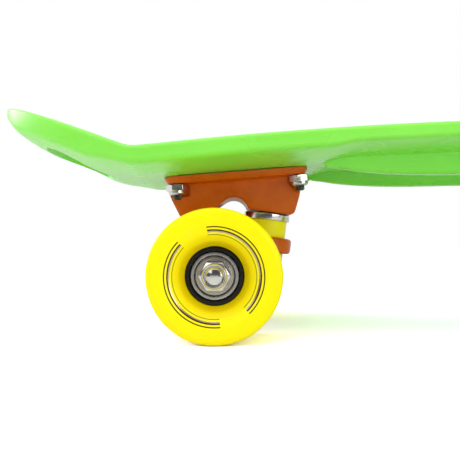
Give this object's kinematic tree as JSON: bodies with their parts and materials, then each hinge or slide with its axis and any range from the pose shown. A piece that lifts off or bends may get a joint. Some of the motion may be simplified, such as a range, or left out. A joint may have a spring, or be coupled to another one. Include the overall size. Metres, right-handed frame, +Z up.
{
  "type": "cruiser skateboard",
  "caption": "Short moulded plastic cruiser skateboard with kicked tail, two steering kingpin trucks and cored wheels on ball bearings.",
  "frame": {"origin": "on the road, under the middle of the board's length and width", "axes": "+X from the tail to the nose, +Y to the rider's left, +Z up"},
  "size_m": [0.56, 0.15, 0.1153],
  "materials": {
    "deck": "satin",
    "truck": "gloss",
    "tyre": "gloss",
    "bushing": "satin",
    "black_plastic": "satin",
    "black_steel": "satin",
    "chrome": "polished",
    "bearing_steel": "satin"
  },
  "bodies": {
    "board": {"deck": "deck", "rear_baseplate": "truck", "rear_kingpin": "black_steel", "rear_kingpin_nut": "chrome", "rear_upper_washer": "chrome", "rear_upper_bushing": "bushing", "rear_lower_bushing": "bushing", "rear_pivot_cup": "black_plastic", "rear_mount_bolt_outer_right": "black_steel", "rear_mount_nut_outer_right": "chrome", "rear_mount_bolt_outer_left": "black_steel", "rear_mount_nut_outer_left": "chrome", "rear_mount_bolt_inner_right": "black_steel", "rear_mount_nut_inner_right": "chrome", "rear_mount_bolt_inner_left": "black_steel", "rear_mount_nut_inner_left": "chrome", "front_baseplate": "truck", "front_kingpin": "black_steel", "front_kingpin_nut": "chrome", "front_upper_washer": "chrome", "front_upper_bushing": "bushing", "front_lower_bushing": "bushing", "front_pivot_cup": "black_plastic", "front_mount_bolt_outer_right": "black_steel", "front_mount_nut_outer_right": "chrome", "front_mount_bolt_outer_left": "black_steel", "front_mount_nut_outer_left": "chrome", "front_mount_bolt_inner_right": "black_steel", "front_mount_nut_inner_right": "chrome", "front_mount_bolt_inner_left": "black_steel", "front_mount_nut_inner_left": "chrome"},
    "rear_left_wheel": {"rear_left_tyre": "tyre", "rear_left_core": "black_plastic", "rear_left_outer_bearing": "bearing_steel", "rear_left_inner_bearing": "bearing_steel"},
    "rear_right_wheel": {"rear_right_tyre": "tyre", "rear_right_core": "black_plastic", "rear_right_outer_bearing": "bearing_steel", "rear_right_inner_bearing": "bearing_steel"},
    "rear_truck": {"rear_hanger": "truck", "rear_axle": "chrome", "rear_left_bearing_stack": "bearing_steel", "rear_left_axle_nut": "chrome", "rear_right_bearing_stack": "bearing_steel", "rear_right_axle_nut": "chrome"},
    "front_left_wheel": {"front_left_tyre": "tyre", "front_left_core": "black_plastic", "front_left_outer_bearing": "bearing_steel", "front_left_inner_bearing": "bearing_steel"},
    "front_right_wheel": {"front_right_tyre": "tyre", "front_right_core": "black_plastic", "front_right_outer_bearing": "bearing_steel", "front_right_inner_bearing": "bearing_steel"},
    "front_truck": {"front_hanger": "truck", "front_axle": "chrome", "front_left_bearing_stack": "bearing_steel", "front_left_axle_nut": "chrome", "front_right_bearing_stack": "bearing_steel", "front_right_axle_nut": "chrome"}
  },
  "joints": [
    {"name": "rear_steer", "type": "hinge", "parent": "board", "child": "rear_truck", "pos_m": [-0.14277, 0, 0.04426], "axis": [-0.8571, 0, 0.5152], "range_deg": [-12, 12], "stiffness_Nm_per_rad": 20, "deforming": ["rear_upper_bushing", "rear_lower_bushing"]},
    {"name": "front_steer", "type": "hinge", "parent": "board", "child": "front_truck", "pos_m": [0.16677, 0, 0.04426], "axis": [0.8571, 0, 0.5152], "range_deg": [-12, 12], "stiffness_Nm_per_rad": 20, "deforming": ["front_upper_bushing", "front_lower_bushing"]},
    {"name": "rear_left_spin", "type": "hinge", "parent": "rear_truck", "child": "rear_left_wheel", "pos_m": [-0.168, 0.051, 0.03], "axis": [0, 1, 0], "continuous": true},
    {"name": "rear_right_spin", "type": "hinge", "parent": "rear_truck", "child": "rear_right_wheel", "pos_m": [-0.168, -0.051, 0.03], "axis": [0, 1, 0], "continuous": true},
    {"name": "front_left_spin", "type": "hinge", "parent": "front_truck", "child": "front_left_wheel", "pos_m": [0.192, 0.051, 0.03], "axis": [0, 1, 0], "continuous": true},
    {"name": "front_right_spin", "type": "hinge", "parent": "front_truck", "child": "front_right_wheel", "pos_m": [0.192, -0.051, 0.03], "axis": [0, 1, 0], "continuous": true}
  ]
}
